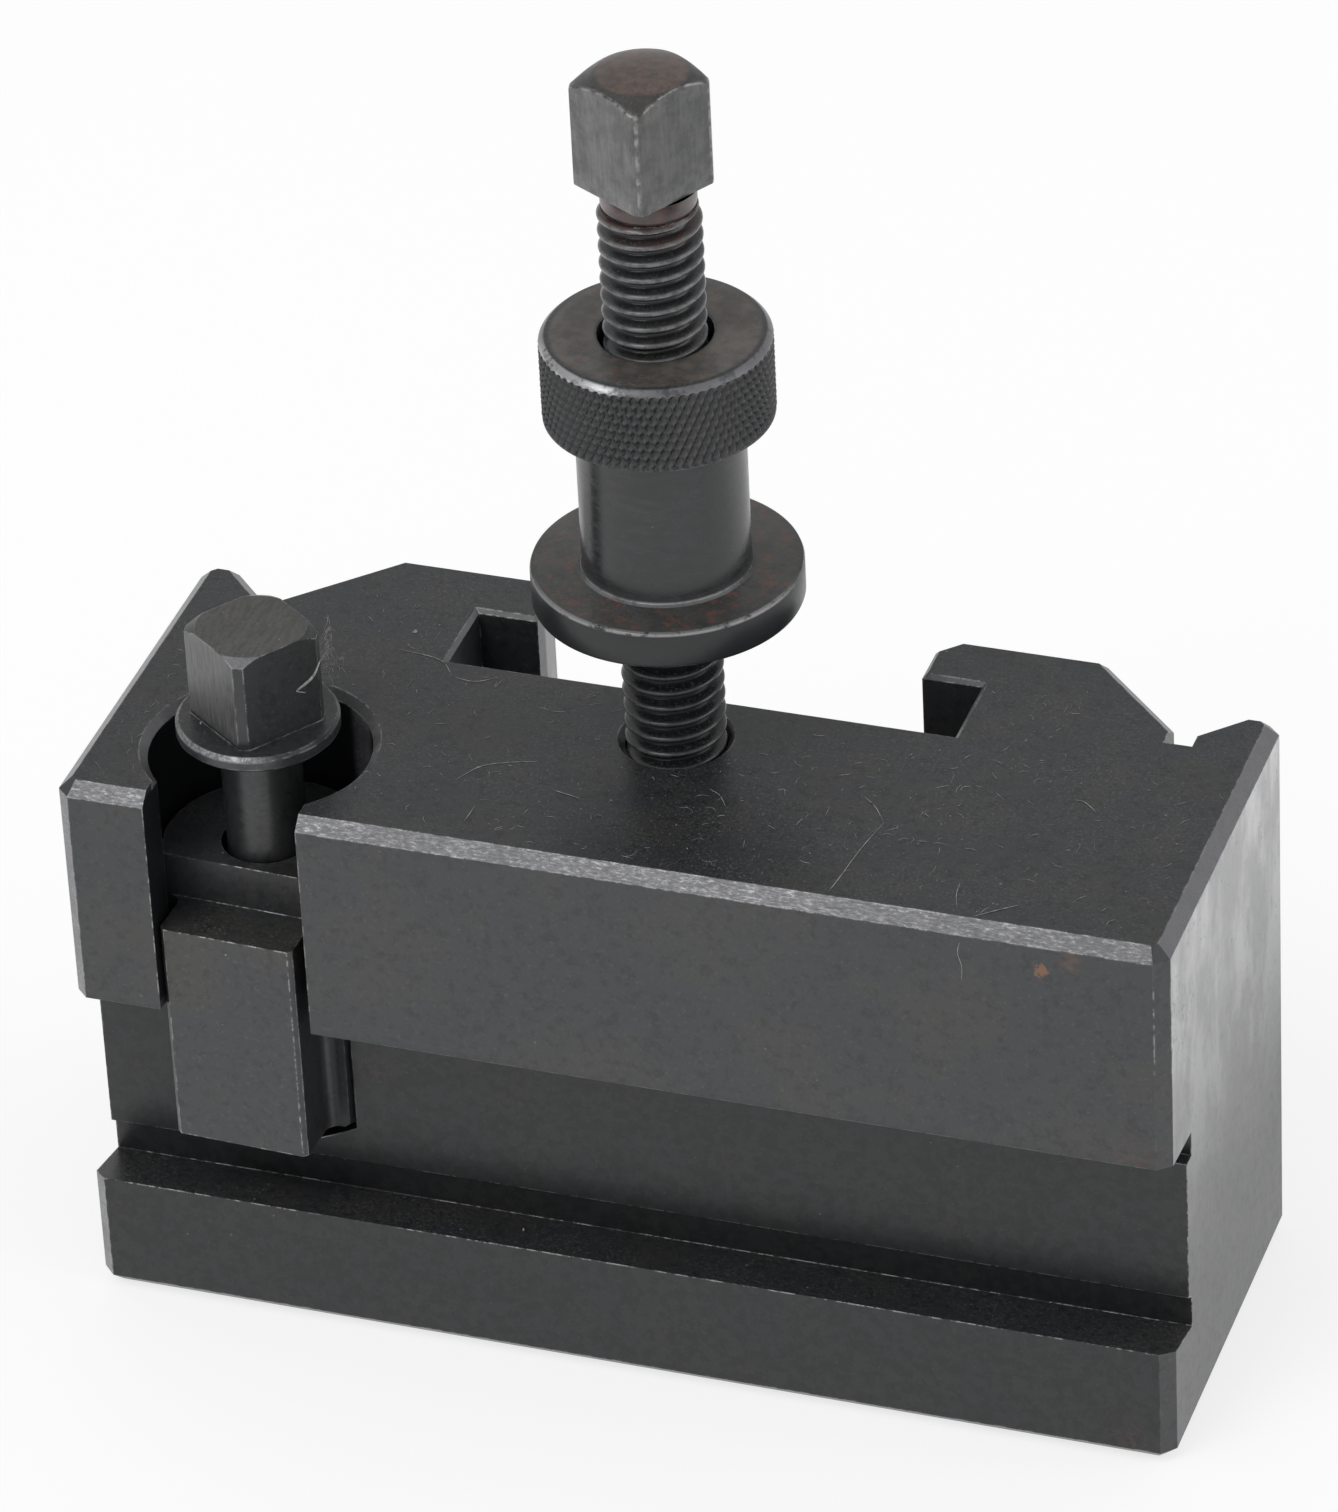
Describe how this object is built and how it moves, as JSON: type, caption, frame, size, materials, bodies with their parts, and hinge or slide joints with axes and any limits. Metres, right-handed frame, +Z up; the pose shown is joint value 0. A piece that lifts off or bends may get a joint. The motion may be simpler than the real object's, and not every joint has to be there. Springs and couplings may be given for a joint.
{
  "type": "turning tool holder",
  "caption": "Quick-change lathe tool holder for a parting blade: block with a hooked back, a blade seat, a screw-down clamp and a height stud with a knurled nut.",
  "frame": {"origin": "middle of the base of the body's block", "axes": "+X along the holder, away from the clamp end; +Y from the blade side to the tool post side; +Z up along the height stud"},
  "size_m": [0.0888, 0.0376, 0.1076],
  "materials": {
    "body_steel": "black oxide, edges ground bright and scratched, dust and lint",
    "clamp_steel": "black oxide, worn grey, bright burrs along its edges",
    "screw_steel": "black oxide, milled flats, worn corners",
    "stud_steel": "black oxide, oiled thread, light rust at the neck and head",
    "nut_steel": "black oxide, polished sleeve, brown rust film on the flange and top"
  },
  "bodies": {
    "holder": {"holder_body": "body_steel"},
    "clamp": {"clamp": "clamp_steel"},
    "clamp_screw": {"clamp_screw": "screw_steel"},
    "height_stud": {"height_stud": "stud_steel"},
    "height_nut": {"height_nut": "nut_steel"}
  },
  "joints": [
    {"name": "clamp_lift", "type": "slide", "parent": "holder", "child": "clamp", "axis": [0, 0, 1], "range_m": [0, 0.0103]},
    {"name": "clamp_screw_turn", "type": "hinge", "parent": "holder", "child": "clamp_screw", "pos_m": [-0.0309, -0.00942, 0.0483], "axis": [0, 0, 1], "continuous": true},
    {"name": "stud_turn", "type": "hinge", "parent": "holder", "child": "height_stud", "pos_m": [0, -0.00028, 0.0483], "axis": [0, 0, 1], "continuous": true},
    {"name": "nut_travel", "type": "slide", "parent": "height_stud", "child": "height_nut", "axis": [0, 0, 1], "range_m": [-0.0131, 0.0125]}
  ]
}
